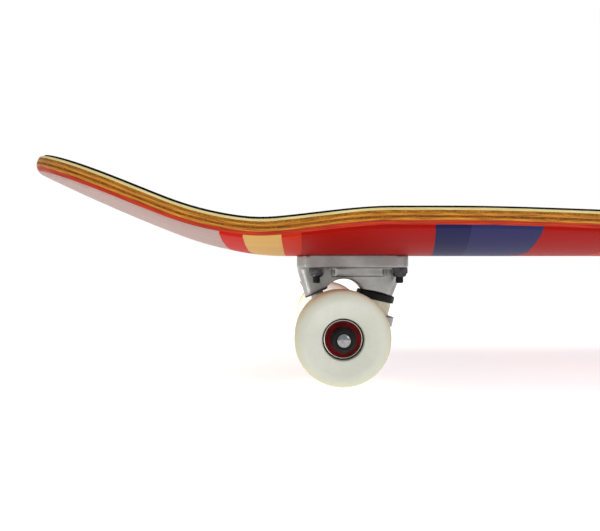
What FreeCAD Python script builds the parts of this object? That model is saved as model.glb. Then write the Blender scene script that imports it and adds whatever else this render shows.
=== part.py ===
import FreeCAD, Part
import math
import os

from BOPTools import SplitAPI
from FreeCAD import Vector

# A skateboard: a seven-ply deck with a raised nose and tail, two steering trucks and four wheels.
# Millimetres. +X runs from the nose to the tail, +Z is up, and the wheels stand on Z = 0.

# Deck, along its length
NOSE_LENGTH = 176.0           # tip to the outer row of bolts
TAIL_LENGTH = 166.0
BOLT_BASE = 362.0             # inner row to inner row
BOLT_SPACING_X = 53.975
BOLT_SPACING_Y = 41.275
DECK_WIDTH = 203.2
DECK_BOTTOM = 72.0            # height of the flat underside
BEND_FROM_BOLTS = 20.7        # where the nose and tail begin to rise
BEND_RADIUS = 182.0
NOSE_ANGLE = math.radians(21.2)
TAIL_ANGLE = math.radians(20.2)
TIP_RADIUS = 1055.0           # the gentle curve beyond the bend
TIP_OUTLINE = 90.0            # length of the rounded end of the outline
TIP_POWER_LENGTH = 2.64
TIP_POWER_WIDTH = 2.16

# Deck, across its width and through its thickness
PLY_COUNT = 7
PLY_THICKNESS = 1.45
DECK_THICKNESS = PLY_COUNT * PLY_THICKNESS
GRIP_THICKNESS = 0.8
FLAT_HALF_WIDTH = 22.0
CONCAVE_POWER = 2.2
CONCAVE_TRUCK = 13.7          # rise of the rail over the centre, beside the trucks
CONCAVE_TIP = 7.1
CONCAVE_MIDDLE = 9.8
TIP_FADE = (-59.4, 22.2)      # along the deck from the bend, where the concave softens
MIDDLE_FADE = (87.1, 237.1)   # distance back from the bend, towards the middle
RAIL_INSET = 2.2              # how far the rounded rail draws in at each face
RAIL_POWER = 2.6
STRIP_COUNT = 6               # faces along the length of each veneer
LAYER_MARGIN = 8.4            # how far the uncut layers reach past the outline
STANDING_HALF_LENGTH = 150.0  # flat middle of the grip tape
STANDING_HALF_WIDTH = 14.5

# Mounting hardware
BOLT_RADIUS = 2.415
BOLT_HOLE_RADIUS = 2.7
BOLT_HEAD_RADIUS = 4.65
BOLT_HEAD_HEIGHT = 2.7
HEAD_CLEARANCE = 0.03
BOLT_END = 53.8
SOCKET_ACROSS = 3.2
SOCKET_DEPTH = 1.9
NUT_ACROSS = 9.53
NUT_HEIGHT = 5.8
NUT_INSERT_HEIGHT = 1.7
NUT_INSERT_RADIUS = 3.6

# Trucks: u is measured from the axle towards the middle of the board
WHEEL_DIAMETER = 52.0
AXLE_HEIGHT = WHEEL_DIAMETER / 2
AXLE_FROM_PATTERN = 14.7
AXLE_RADIUS = 4.0
AXLE_HALF_LENGTH = 101.6
FLANGE_OUTER = -24.9
FLANGE_INNER = 47.6
FLANGE_WIDTH = 54.0
FLANGE_BOTTOM = 63.7
FLANGE_CORNER = 8.5
BOSS_HALF_WIDTH = 10.7
BRIDGE_CORNER = 5.0
CUP_HOUSING = (8.2, 7.8)      # from the cup's axis to the housing's outer and inner corners
ARCH_TOP = Vector(7.75, 0, 56.3)
OUTER_WALL_FOOT = (-24.3, 60.9)
INNER_WALL_WAIST = (43.0, 54.1)
PAD = (-2.0, 33.5, 18.5)      # raised floor between the bolts: from, to, half width
PAD_BOTTOM = 58.2
RELIEF = (-7.0, 16.0, 7.0)    # hollow under the deck: from, to, half width
RELIEF_TOP = 60.5
CASTING_CORNER = 4.0
BOSS_CENTRE = Vector(28.85, 0, 47.0)
KINGPIN_LEAN = math.radians(13.5)
KINGPIN_DOWN = Vector(-math.sin(KINGPIN_LEAN), 0, -math.cos(KINGPIN_LEAN))
KINGPIN_ACROSS = Vector(math.cos(KINGPIN_LEAN), 0, -math.sin(KINGPIN_LEAN))
KINGPIN_RADIUS = 4.75
CUP_FACE_CENTRE = Vector(-12.0, 0, 47.7)
CUP_LEAN = math.radians(24.0)
STEM_DOWN = Vector(math.sin(CUP_LEAN), 0, -math.cos(CUP_LEAN))
STEM_ACROSS = Vector(math.cos(CUP_LEAN), 0, math.sin(CUP_LEAN))
PIVOT_DEPTH = 2.0             # pivot ball's centre above the cup housing's face
PIVOT_CENTRE = CUP_FACE_CENTRE - STEM_DOWN * PIVOT_DEPTH
PIVOT_RADIUS = 4.9
PIVOT_CLEARANCE = 0.05
CUP_RADIUS = 7.4
CUP_DEPTH = 8.5               # cup's closed end above the pivot ball's centre
CUP_LIP = 0.9

# Distances down the kingpin from the boss face
TOP_WASHER_END = 5.0
TOP_BUSHING_START = 2.4
RING_START = 13.6
RING_SEAT_TOP = 15.1
RING_SEAT_BOTTOM = 19.1
RING_END = 20.6
BOTTOM_BUSHING_END = 28.6
BOTTOM_WASHER_END = 30.2
KINGPIN_NUT_END = 37.7
KINGPIN_END = 39.2
KINGPIN_HEAD = (-21.5, -16.0)
KINGPIN_HEAD_RADIUS = 7.9
KINGPIN_NUT_ACROSS = 14.3
RING_RADIUS = 15.8
RING_HOLE_RADIUS = 8.2
BUSHING_RADIUS = 11.5
BUSHING_HOLE_RADIUS = 5.0
BUSHING_GAP = 0.4
TOP_WASHER_RADIUS = 13.1
BOTTOM_WASHER_RADIUS = 10.4

# Wheels and bearings: w is measured along the axle from the wheel's middle
WHEEL_CENTRE_Y = 81.0
WHEEL_HALF_WIDTH = 15.5
TREAD_HALF_WIDTH = 9.6
WHEEL_LIP = (20.4, WHEEL_HALF_WIDTH)   # radius and w of the rounded shoulder's end
WHEEL_SHOULDER = (24.6, 13.2)
WHEEL_MOUTH = ((14.0, 14.9), (12.2, 14.0), (11.5, 12.6))
BEARING_RADIUS = 11.0
BEARING_WIDTH = 7.0
BEARING_OUTER_FACE = 12.0
BORE_SHOULDER_RADIUS = 9.7
BALL_RADIUS = 1.985
BALL_COUNT = 7
BALL_PITCH_RADIUS = 7.5
RACE_GAP = 0.04
CAGE_HALF_WIDTH = 2.4
CAGE_RADII = (6.9, 8.1)
BALL_CLEARANCE = 0.06
OUTER_RING_BORE = 9.05
INNER_RING_RADIUS = 6.0
RING_CHAMFER = 0.3
RING_OUTER_CHAMFER = 0.5
SEAL_THICKNESS = 0.6
SEAL_INSET = 0.35
SEAL_GAP = 0.25
SPACER_RADIUS = 5.2
SPEED_WASHER_THICKNESS = 1.0
SPEED_WASHER_RADIUS = 5.5
AXLE_NUT_ACROSS = 12.7
AXLE_NUT_HEIGHT = 6.6

# Hanger, cast in one piece
HANGER_HALF_WIDTH = WHEEL_CENTRE_Y - BEARING_OUTER_FACE - SPEED_WASHER_THICKNESS
# Barrel round the axle: distance from the middle, radius
BARREL_WAIST = ((0, 10.9), (14, 10.6), (30, 9.9), (48, 9.2), (62, 9.0))
BARREL_END = ((64.5, 7.7), (HANGER_HALF_WIDTH, 7.4), (HANGER_HALF_WIDTH, 0))
# Wings: u, z, half width, half depth, corner
WINGS = ((-3.0, 26.5, 52.0, 7.5, 7.0), (8.0, 29.6, 35.0, 6.4, 6.0), (18.0, 31.8, 14.0, 3.4, 3.2))
# Neck: distance down the stem from the pivot ball, half width, half depth, corner
NECK = ((24.0, 40.0, 8.0, 7.5), (14.0, 15.5, 6.5, 6.2), (6.0, 5.2, 5.1, 5.0))
# Stem under the pivot ball: radius, distance down from the ball's centre
STEM = ((0, 0), (4.4, 0), (4.4, 4), (5.4, 8), (0, 8))

# Derived places along X
LENGTH = NOSE_LENGTH + TAIL_LENGTH + BOLT_BASE + 2 * BOLT_SPACING_X
NOSE_BOLTS = -LENGTH / 2 + NOSE_LENGTH
TAIL_BOLTS = LENGTH / 2 - TAIL_LENGTH
FRONT_PATTERN = NOSE_BOLTS + BOLT_SPACING_X / 2
REAR_PATTERN = TAIL_BOLTS - BOLT_SPACING_X / 2
FRONT_AXLE = FRONT_PATTERN - AXLE_FROM_PATTERN
REAR_AXLE = REAR_PATTERN + AXLE_FROM_PATTERN
HALF_WIDTH = DECK_WIDTH / 2


def smooth_step(t):
    t = min(1.0, max(0.0, t))
    return t * t * (3 - 2 * t)


class DeckEnd:
    """The nose (side -1) or the tail (side +1). s runs along the underside from the bend, outwards."""

    def __init__(self, side, bolts, length, angle):
        self.side = side
        self.bend_x = bolts + side * BEND_FROM_BOLTS
        self.angle = angle
        # The rounded tip stands furthest out at the middle of its thickness
        reach = length - BEND_FROM_BOLTS + math.sin(angle) * DECK_THICKNESS / 2
        sine = math.sin(angle) + (reach - BEND_RADIUS * math.sin(angle)) / TIP_RADIUS
        self.tip_s = BEND_RADIUS * angle + TIP_RADIUS * (math.asin(sine) - angle)
        self.middle_s = -abs(self.bend_x)

    def centre(self, s):
        """Distance beyond the bend, rise over the flat, and slope of the underside's centre line."""
        if s < 0:
            return s, 0.0, 0.0
        arc = BEND_RADIUS * self.angle
        if s < arc:
            slope = s / BEND_RADIUS
            return BEND_RADIUS * math.sin(slope), BEND_RADIUS * (1 - math.cos(slope)), slope
        slope = self.angle + (s - arc) / TIP_RADIUS
        out = BEND_RADIUS * math.sin(self.angle) + TIP_RADIUS * (math.sin(slope) - math.sin(self.angle))
        rise = BEND_RADIUS * (1 - math.cos(self.angle))
        rise += TIP_RADIUS * (math.cos(self.angle) - math.cos(slope))
        return out, rise, slope

    def concave(self, s):
        """Rise of the rail over the centre line at full width."""
        tip = smooth_step((s - TIP_FADE[0]) / (TIP_FADE[1] - TIP_FADE[0]))
        middle = smooth_step((-s - MIDDLE_FADE[0]) / (MIDDLE_FADE[1] - MIDDLE_FADE[0]))
        rise = CONCAVE_TRUCK + (CONCAVE_TIP - CONCAVE_TRUCK) * tip
        return rise + (CONCAVE_MIDDLE - CONCAVE_TRUCK) * middle

    def point(self, s, y, height):
        """A point this high in the deck's thickness, measured square to the centre line."""
        out, rise, slope = self.centre(s)
        across = max(0.0, (abs(y) - FLAT_HALF_WIDTH) / (HALF_WIDTH - FLAT_HALF_WIDTH))
        lift = self.concave(s) * across ** CONCAVE_POWER + height
        x = self.bend_x + self.side * (out - math.sin(slope) * lift)
        return Vector(x, y, DECK_BOTTOM + rise + math.cos(slope) * lift)


NOSE = DeckEnd(-1, NOSE_BOLTS, NOSE_LENGTH, NOSE_ANGLE)
TAIL = DeckEnd(1, TAIL_BOLTS, TAIL_LENGTH, TAIL_ANGLE)


def knots(count):
    """Clamped uniform cubic knots for this many control points."""
    spans = count - 3
    return list(range(spans + 1)), [4] + [1] * (spans - 1) + [4]


def spline_strips(rows):
    """A cubic surface with these rows of control points, split along its length into strips."""
    u_knots, u_mults = knots(len(rows))
    v_knots, v_mults = knots(len(rows[0]))
    surface = Part.BSplineSurface()
    surface.buildFromPolesMultsKnots(rows, u_mults, v_mults, u_knots, v_knots, False, False, 3, 3)
    u_low, u_high, v_low, v_high = surface.bounds()
    cuts = [round(u_low + (u_high - u_low) * i / STRIP_COUNT) for i in range(STRIP_COUNT + 1)]
    strips = []
    for start, end in zip(cuts, cuts[1:]):
        strip = surface.copy()
        strip.segment(start, end, v_low, v_high)
        strips.append(strip)
    return strips


def even(start, end, step):
    """Evenly spaced values from start to end, about this far apart."""
    count = max(1, round(abs(end - start) / step))
    return [start + (end - start) * i / count for i in range(count + 1)]


def deck_stations(margin):
    """(end, s) pairs from beyond the nose's tip to beyond the tail's."""
    nose = [(NOSE, s) for s in even(NOSE.tip_s + margin, -40.0, 9.0)]
    nose += [(NOSE, s) for s in even(-40.0, NOSE.middle_s, 18.0)[1:]]
    tail = [(TAIL, s) for s in even(TAIL.tip_s + margin, -40.0, 9.0)]
    tail += [(TAIL, s) for s in even(-40.0, TAIL.middle_s, 18.0)[1:-1]]
    return nose + tail[::-1]


def deck_layer(height):
    """The surface this high in the deck's thickness, larger than the outline all round."""
    reach = HALF_WIDTH + LAYER_MARGIN
    across = even(-reach, reach, FLAT_HALF_WIDTH / 3)
    return spline_strips([[end.point(s, y, height) for y in across] for end, s in deck_stations(12.0)])


def end_outline(end, steps):
    """Points round one end of the outline, from its tip to the parallel sides, with outward normals."""
    points = []
    for i in range(steps + 1):
        turn = math.pi / 2 * i / steps
        along = math.cos(turn) ** (2 / TIP_POWER_LENGTH)
        across = math.sin(turn) ** (2 / TIP_POWER_WIDTH)
        s = end.tip_s - TIP_OUTLINE * (1 - along)
        normal_s = along ** (TIP_POWER_LENGTH - 1) / TIP_OUTLINE
        normal_y = across ** (TIP_POWER_WIDTH - 1) / HALF_WIDTH
        size = math.hypot(normal_s, normal_y)
        points.append((end, s, HALF_WIDTH * across, normal_s / size, normal_y / size))
    return points


def rail_inset(height):
    """How far the rounded rail lies inside the outline at this height."""
    return RAIL_INSET * abs(2 * height / DECK_THICKNESS - 1) ** RAIL_POWER


def rail_wall(side):
    """Half of the deck's edge as one surface, from the nose's tip round to the tail's."""
    top = DECK_THICKNESS + GRIP_THICKNESS + 1.6
    heights = [-1.6, -0.4, 1.2, 3.0, DECK_THICKNESS / 2, DECK_THICKNESS - 3.0, DECK_THICKNESS - 1.2,
               DECK_THICKNESS + 0.4, top]
    outline = end_outline(NOSE, 22)
    for end in (NOSE, TAIL):
        start = end.tip_s - TIP_OUTLINE
        sides = [(end, s, HALF_WIDTH, 0.0, 1.0) for s in even(start, end.middle_s, 9.0)[1:]]
        outline += sides if end is NOSE else sides[-2::-1]
    outline += end_outline(TAIL, 22)[::-1]
    rows = []
    for end, s, y, normal_s, normal_y in outline:
        row = []
        for height in heights:
            inset = rail_inset(height)
            row.append(end.point(s - inset * normal_s, side * (y - inset * normal_y), height))
        rows.append(row)
    return spline_strips(rows)


def layer_block(low, high):
    """Everything between two heights in the deck's thickness, wider than the outline."""
    bottom = deck_layer(low)
    top = deck_layer(high)
    pairs = []
    for below, above in zip(bottom, top):
        pairs += [(below.vIso(v), above.vIso(v)) for v in below.bounds()[2:]]
    pairs.append((bottom[0].uIso(bottom[0].bounds()[0]), top[0].uIso(top[0].bounds()[0])))
    pairs.append((bottom[-1].uIso(bottom[-1].bounds()[1]), top[-1].uIso(top[-1].bounds()[1])))
    sides = [Part.makeRuledSurface(below.toShape(), above.toShape()) for below, above in pairs]
    shell = Part.makeShell([strip.toShape() for strip in bottom + top] + sides)
    shell.sewShape()
    return Part.makeSolid(shell)


def bolt_places():
    """Centres of the eight mounting bolts."""
    places = []
    for pattern in (FRONT_PATTERN, REAR_PATTERN):
        for dx in (-BOLT_SPACING_X / 2, BOLT_SPACING_X / 2):
            for dy in (-BOLT_SPACING_Y / 2, BOLT_SPACING_Y / 2):
                places.append((pattern + dx, dy))
    return places


def z_cylinder(radius, x, y, low, high):
    return Part.makeCylinder(radius, high - low, Vector(x, y, low))


def with_standing_area(grip):
    """The same grip tape, with the flat middle of its top as one plane face."""
    size = (2 * STANDING_HALF_LENGTH, 2 * STANDING_HALF_WIDTH)
    corner = Vector(-STANDING_HALF_LENGTH, -STANDING_HALF_WIDTH, DECK_BOTTOM + DECK_THICKNESS)
    window = Part.makeBox(*size, GRIP_THICKNESS + 2, corner - Vector(0, 0, 1))
    return grip.cut(window).fuse(Part.makeBox(*size, GRIP_THICKNESS, corner))


def deck_parts():
    """The seven veneers and the grip tape, cut to the outline, drilled and countersunk."""
    wall = Part.makeShell([strip.toShape() for side in (-1, 1) for strip in rail_wall(side)])
    wall.sewShape()
    top = DECK_BOTTOM + DECK_THICKNESS + GRIP_THICKNESS
    slope = (BOLT_HEAD_RADIUS - BOLT_RADIUS) / BOLT_HEAD_HEIGHT
    seat = top - (BOLT_HEAD_RADIUS + HEAD_CLEARANCE - BOLT_HOLE_RADIUS) / slope
    mouth = BOLT_HOLE_RADIUS + slope * (top + 5 - seat)
    hole = revolved([(0, DECK_BOTTOM - 5), (BOLT_HOLE_RADIUS, DECK_BOTTOM - 5), (BOLT_HOLE_RADIUS, seat),
                     (mouth, top + 5), (0, top + 5)])
    holes = [hole.translated(Vector(x, y, 0)) for x, y in bolt_places()]
    heights = [PLY_THICKNESS * i for i in range(PLY_COUNT + 1)] + [DECK_THICKNESS + GRIP_THICKNESS]
    names = [f"deck_ply_{i}" for i in range(1, PLY_COUNT + 1)] + ["grip_tape"]
    parts = {}
    for name, low, high in zip(names, heights, heights[1:]):
        pieces = SplitAPI.slice(layer_block(low, high), [wall], "Split").Solids
        parts[name] = max(pieces, key=lambda piece: piece.Volume).cut(holes)
    parts["grip_tape"] = with_standing_area(parts["grip_tape"])
    return parts


def placed(shape, base, direction):
    """Turns a shape built along +Z to lie along direction, starting at base."""
    copy = shape.copy()
    copy.Placement = FreeCAD.Placement(base, FreeCAD.Rotation(Vector(0, 0, 1), direction))
    return copy


def hexagon(across, low, high):
    """A hexagonal prism on the Z axis with a flat facing +X."""
    corner = across / math.sqrt(3)
    points = [Vector(corner * math.cos(math.radians(60 * i + 30)),
                     corner * math.sin(math.radians(60 * i + 30)), low) for i in range(7)]
    return Part.Face(Part.makePolygon(points)).extrude(Vector(0, 0, high - low))


def revolved(points):
    """Turns a closed outline of (radius, z) points about the Z axis."""
    outline = [Vector(radius, 0, z) for radius, z in points]
    face = Part.Face(Part.makePolygon(outline + outline[:1]))
    return face.revolve(Vector(0, 0, 0), Vector(0, 0, 1), 360)


def lock_nut(across, height, hole_radius):
    """A hexagon with chamfered corners and a round collar at its outer end."""
    corner = across / math.sqrt(3)
    collar = across / 2 - 0.35
    waist = height * 0.68
    chamfer = 0.12 * across
    envelope = revolved([(0, 0), (across / 2 + 0.2, 0), (corner, chamfer * 0.6),
                         (corner, waist - chamfer * 0.6), (across / 2, waist), (0, waist)])
    dome = revolved([(0, waist * 0.5), (collar, waist * 0.5), (collar, height - 0.9),
                     (collar - 0.9, height), (0, height)])
    nut = hexagon(across, 0, waist).common(envelope).fuse(dome).removeSplitter()
    return nut.cut(Part.makeCylinder(hole_radius, height + 2, Vector(0, 0, -1)))


def mounting_hardware():
    """Eight countersunk bolts, their lock nuts and the nuts' nylon inserts."""
    top = DECK_BOTTOM + DECK_THICKNESS + GRIP_THICKNESS
    nut_low = FLANGE_BOTTOM - NUT_HEIGHT
    bolt_profile = [(0, BOLT_END), (BOLT_RADIUS - 0.6, BOLT_END), (BOLT_RADIUS, BOLT_END + 0.6),
                    (BOLT_RADIUS, top - BOLT_HEAD_HEIGHT), (BOLT_HEAD_RADIUS, top), (0, top)]
    bolt = revolved(bolt_profile).cut(hexagon(SOCKET_ACROSS, top - SOCKET_DEPTH, top + 1))
    nut = lock_nut(NUT_ACROSS, NUT_HEIGHT, BOLT_RADIUS)
    nut = placed(nut, Vector(0, 0, FLANGE_BOTTOM), Vector(0, 0, -1))
    insert_low = nut_low + 0.5
    pocket = z_cylinder(NUT_INSERT_RADIUS, 0, 0, insert_low, insert_low + NUT_INSERT_HEIGHT)
    insert = pocket.cut(z_cylinder(BOLT_RADIUS, 0, 0, nut_low - 1, FLANGE_BOTTOM))
    nut = nut.cut(pocket)
    groups = {"mounting_bolts": bolt, "mounting_nuts": nut, "mounting_nut_inserts": insert}
    parts = {}
    for name, piece in groups.items():
        parts[name] = Part.makeCompound([piece.translated(Vector(x, y, 0)) for x, y in bolt_places()])
    return parts


def on_kingpin(distance):
    return BOSS_CENTRE + KINGPIN_DOWN * distance


def kingpin_disc(radius, start, end):
    return Part.makeCylinder(radius, end - start, on_kingpin(start), KINGPIN_DOWN)


def kingpin_turned(points):
    """Turns an outline of (radius, distance down the kingpin) about the kingpin's axis."""
    return placed(revolved(points), BOSS_CENTRE, KINGPIN_DOWN)


def stem_turned(points):
    """Turns an outline of (radius, distance down from the pivot ball's centre) about the stem's axis."""
    return placed(revolved(points), PIVOT_CENTRE, STEM_DOWN)


def rounded_plate(x_low, x_high, half_width, low, high, corner):
    """A flat plate with round vertical edges."""
    plate = Part.makeBox(x_high - x_low, 2 * half_width, high - low, Vector(x_low, -half_width, low))
    upright = [edge for edge in plate.Edges if edge.BoundBox.ZLength > high - low - 0.01]
    return plate.makeFillet(corner, upright)


def bridge_profile():
    """Side outline of the cast bridge that carries the pivot cup and the kingpin."""
    top = FLANGE_BOTTOM + 1.0
    cup_outer = CUP_FACE_CENTRE - STEM_ACROSS * CUP_HOUSING[0]
    cup_inner = CUP_FACE_CENTRE + STEM_ACROSS * CUP_HOUSING[1]
    boss_outer = BOSS_CENTRE - KINGPIN_ACROSS * BOSS_HALF_WIDTH
    boss_inner = BOSS_CENTRE + KINGPIN_ACROSS * BOSS_HALF_WIDTH
    foot_u, foot_z = OUTER_WALL_FOOT
    waist_u, waist_z = INNER_WALL_WAIST
    outer_wall = [Vector(FLANGE_OUTER + 0.3, 0, top), Vector(foot_u, 0, foot_z), cup_outer, cup_inner]
    inner_wall = [boss_outer, boss_inner, Vector(waist_u, 0, waist_z), Vector(FLANGE_INNER - 1.2, 0, top),
                  outer_wall[0]]
    edges = [Part.LineSegment(a, b).toShape() for a, b in zip(outer_wall, outer_wall[1:])]
    edges.append(Part.Arc(cup_inner, ARCH_TOP, boss_outer).toShape())
    edges += [Part.LineSegment(a, b).toShape() for a, b in zip(inner_wall, inner_wall[1:])]
    return Part.Face(Part.Wire(edges))


def baseplate():
    """Cast flange and bridge, drilled for its bolts, the kingpin and the pivot cup."""
    flange = rounded_plate(FLANGE_OUTER, FLANGE_INNER, FLANGE_WIDTH / 2, FLANGE_BOTTOM, DECK_BOTTOM,
                           FLANGE_CORNER)
    pad = rounded_plate(*PAD, PAD_BOTTOM, FLANGE_BOTTOM + 1, CASTING_CORNER)
    profile = bridge_profile().translated(Vector(0, -BOSS_HALF_WIDTH, 0))
    bridge = profile.extrude(Vector(0, 2 * BOSS_HALF_WIDTH, 0))
    inner_end = BOSS_CENTRE.x + BOSS_HALF_WIDTH
    end_walls = [edge for edge in bridge.Edges if edge.BoundBox.YLength < 0.01
                 and not -20 < edge.CenterOfMass.x < inner_end]
    bridge = bridge.makeFillet(BRIDGE_CORNER, end_walls)
    body = flange.fuse([pad, bridge]).removeSplitter()
    hole = z_cylinder(BOLT_HOLE_RADIUS, AXLE_FROM_PATTERN, 0, FLANGE_BOTTOM - 1, DECK_BOTTOM + 1)
    holes = [hole.translated(Vector(dx, dy, 0))
             for dx in (-BOLT_SPACING_X / 2, BOLT_SPACING_X / 2)
             for dy in (-BOLT_SPACING_Y / 2, BOLT_SPACING_Y / 2)]
    holes.append(kingpin_disc(KINGPIN_RADIUS + 0.05, -30, 2))
    holes.append(kingpin_disc(KINGPIN_HEAD_RADIUS + 0.5, -34, KINGPIN_HEAD[1]))
    holes.append(stem_turned([(0, -CUP_DEPTH), (CUP_RADIUS, -CUP_DEPTH), (CUP_RADIUS, 4), (0, 4)]))
    relief = rounded_plate(*RELIEF, RELIEF_TOP, DECK_BOTTOM + 1, CASTING_CORNER)
    return body.cut(holes + [relief])


def pivot_cup():
    """Urethane cup with a round seat for the pivot ball and a lip round its mouth."""
    rim = PIVOT_DEPTH + 1.2
    lip = CUP_RADIUS + CUP_LIP
    cup = stem_turned([(0, -CUP_DEPTH), (CUP_RADIUS, -CUP_DEPTH), (CUP_RADIUS, PIVOT_DEPTH),
                       (lip, PIVOT_DEPTH), (lip, rim), (0, rim)])
    seat_radius = PIVOT_RADIUS + PIVOT_CLEARANCE
    seat = Part.makeSphere(seat_radius, PIVOT_CENTRE)
    mouth = stem_turned([(0, 0), (seat_radius, 0), (PIVOT_RADIUS + CUP_LIP, rim + 0.1), (0, rim + 0.1)])
    return cup.cut([seat, mouth])


def kingpin():
    """Bolt that clamps the bushings, with its head sunk in the baseplate."""
    head_low, head_high = KINGPIN_HEAD
    head = KINGPIN_HEAD_RADIUS
    return kingpin_turned([(0, head_low), (head - 1.1, head_low), (head, head_low + 1.0), (head, head_high),
                           (KINGPIN_RADIUS, head_high), (KINGPIN_RADIUS, KINGPIN_END - 1.0),
                           (KINGPIN_RADIUS - 1.0, KINGPIN_END), (0, KINGPIN_END)])


def top_washer():
    """Deep cupped washer between the boss and the upper bushing."""
    inner = BUSHING_RADIUS + BUSHING_GAP
    bore = KINGPIN_RADIUS + 0.15
    rim, end = TOP_WASHER_RADIUS, TOP_WASHER_END
    return kingpin_turned([(bore, 0), (rim - 0.8, 0), (rim, 0.8), (rim, end - 0.4), (rim - 0.4, end),
                           (inner, end), (inner, TOP_BUSHING_START), (bore, TOP_BUSHING_START)])


def top_bushing():
    """Barrel-shaped upper bushing."""
    start, end = TOP_BUSHING_START, RING_SEAT_TOP
    hole, outside = BUSHING_HOLE_RADIUS, BUSHING_RADIUS
    return kingpin_turned([(hole, start), (outside - 0.8, start), (outside, start + 1.2),
                           (outside, end - 1.2), (outside - 0.8, end), (hole, end)])


def bottom_bushing():
    """Cone-shaped lower bushing."""
    start, end = RING_SEAT_BOTTOM, BOTTOM_BUSHING_END
    hole, outside = BUSHING_HOLE_RADIUS, BUSHING_RADIUS
    return kingpin_turned([(hole, start), (outside - 0.6, start), (outside, start + 1.0),
                           (9.2, end - 0.8), (8.5, end), (hole, end)])


def bottom_washer():
    """Shallow cupped washer under the lower bushing."""
    bore = KINGPIN_RADIUS + 0.15
    seat, end = BOTTOM_BUSHING_END, BOTTOM_WASHER_END
    rim = BOTTOM_WASHER_RADIUS
    return kingpin_turned([(bore, seat), (rim - 0.9, seat), (rim - 0.8, seat - 1.2), (rim, seat - 1.2),
                           (rim, end - 0.6), (rim - 0.6, end), (bore, end)])


def kingpin_nut():
    nut = lock_nut(KINGPIN_NUT_ACROSS, KINGPIN_NUT_END - BOTTOM_WASHER_END, KINGPIN_RADIUS)
    return placed(nut, on_kingpin(BOTTOM_WASHER_END), KINGPIN_DOWN)


def section(centre, across, half_width, half_depth, corner):
    """A rounded rectangle, half_width along Y and half_depth along across, as a loft section."""
    side = Vector(0, 1, 0)
    points = []
    edges = []
    for sy, sd in ((1, 1), (-1, 1), (-1, -1), (1, -1)):
        middle = centre + side * (sy * (half_width - corner)) + across * (sd * (half_depth - corner))
        start, end = (side * sy, across * sd) if sy * sd > 0 else (across * sd, side * sy)
        diagonal = (side * sy + across * sd) * (corner / math.sqrt(2))
        points.append((middle + start * corner, middle + diagonal, middle + end * corner))
    for i, (start, middle, end) in enumerate(points):
        edges.append(Part.Arc(start, middle, end).toShape())
        edges.append(Part.LineSegment(end, points[(i + 1) % 4][0]).toShape())
    return Part.Wire(edges)


def axle_housing():
    """The hanger's long barrel round the axle."""
    waist = [Vector(0, y, radius) for y, radius in BARREL_WAIST]
    end = waist[-1:] + [Vector(0, y, radius) for y, radius in BARREL_END]

    def flipped(point):
        return Vector(0, -point.y, point.z)

    curve = Part.BSplineCurve()
    curve.interpolate([flipped(point) for point in waist[::-1]] + waist[1:])
    ends = end + [flipped(point) for point in end[::-1]]
    edges = [curve.toShape()] + [Part.LineSegment(a, b).toShape() for a, b in zip(ends, ends[1:])]
    barrel = Part.Face(Part.Wire(edges)).revolve(Vector(0, 0, 0), Vector(0, 1, 0), 360)
    return barrel.translated(Vector(0, 0, AXLE_HEIGHT))


def hanger():
    """Cast hanger: axle barrel, wings, bushing ring and pivot stem in one piece."""
    up = Vector(0, 0, 1)
    reach = HANGER_HALF_WIDTH + 1
    ring = kingpin_disc(RING_RADIUS, RING_START, RING_END)
    wings = Part.makeLoft([section(Vector(u, 0, z), up, *sizes) for u, z, *sizes in WINGS], True)
    neck = Part.makeLoft([section(PIVOT_CENTRE + STEM_DOWN * distance, STEM_ACROSS, *sizes)
                          for distance, *sizes in NECK], True)
    stem = stem_turned(STEM)
    ball = Part.makeSphere(PIVOT_RADIUS, PIVOT_CENTRE)
    body = axle_housing().fuse([ring, wings, neck, stem, ball])
    cuts = [kingpin_disc(BUSHING_RADIUS + BUSHING_GAP, 2, RING_SEAT_TOP),
            kingpin_disc(BUSHING_RADIUS + BUSHING_GAP, RING_SEAT_BOTTOM, RING_END + 2),
            kingpin_disc(RING_RADIUS - 1.0, RING_END, 45),
            kingpin_disc(RING_HOLE_RADIUS, 10, 25),
            on_axle(Part.makeCylinder(AXLE_RADIUS, 2 * reach, Vector(0, 0, -reach)))]
    return body.cut(cuts)


def on_axle(shape):
    """Moves a shape built round the Z axis to lie round the axle, with +Z towards +Y."""
    return placed(shape, Vector(0, 0, AXLE_HEIGHT), Vector(0, 1, 0))


def both_ends(points):
    """Turns an outline of (radius, y) about the axle, at both ends of it."""
    mirrored = [(radius, -y) for radius, y in points]
    return Part.makeCompound([on_axle(revolved(points)), on_axle(revolved(mirrored))])


def axle():
    half = AXLE_HALF_LENGTH
    return on_axle(revolved([(0, -half), (AXLE_RADIUS - 0.6, -half), (AXLE_RADIUS, 0.6 - half),
                             (AXLE_RADIUS, half - 0.6), (AXLE_RADIUS - 0.6, half), (0, half)]))


def axle_nuts():
    start = WHEEL_CENTRE_Y + BEARING_OUTER_FACE + SPEED_WASHER_THICKNESS
    nut = lock_nut(AXLE_NUT_ACROSS, AXLE_NUT_HEIGHT, AXLE_RADIUS)
    return Part.makeCompound([placed(nut, Vector(0, side * start, AXLE_HEIGHT), Vector(0, side, 0))
                              for side in (1, -1)])


def axle_washers():
    """Speed washers on each side of each wheel."""
    inner, outer = AXLE_RADIUS, SPEED_WASHER_RADIUS
    thickness = SPEED_WASHER_THICKNESS
    starts = (HANGER_HALF_WIDTH, WHEEL_CENTRE_Y + BEARING_OUTER_FACE)
    pairs = [both_ends([(inner, y), (outer, y), (outer, y + thickness), (inner, y + thickness)]) for y in starts]
    return Part.makeCompound([solid for pair in pairs for solid in pair.Solids])


def bearing_middles():
    """Distances along w of the two bearings' middles."""
    middle = BEARING_OUTER_FACE - BEARING_WIDTH / 2
    return (-middle, middle)


def race(w):
    """The ring-shaped space that the balls run in."""
    return Part.makeTorus(BALL_PITCH_RADIUS, BALL_RADIUS + RACE_GAP, Vector(0, 0, w))


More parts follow.
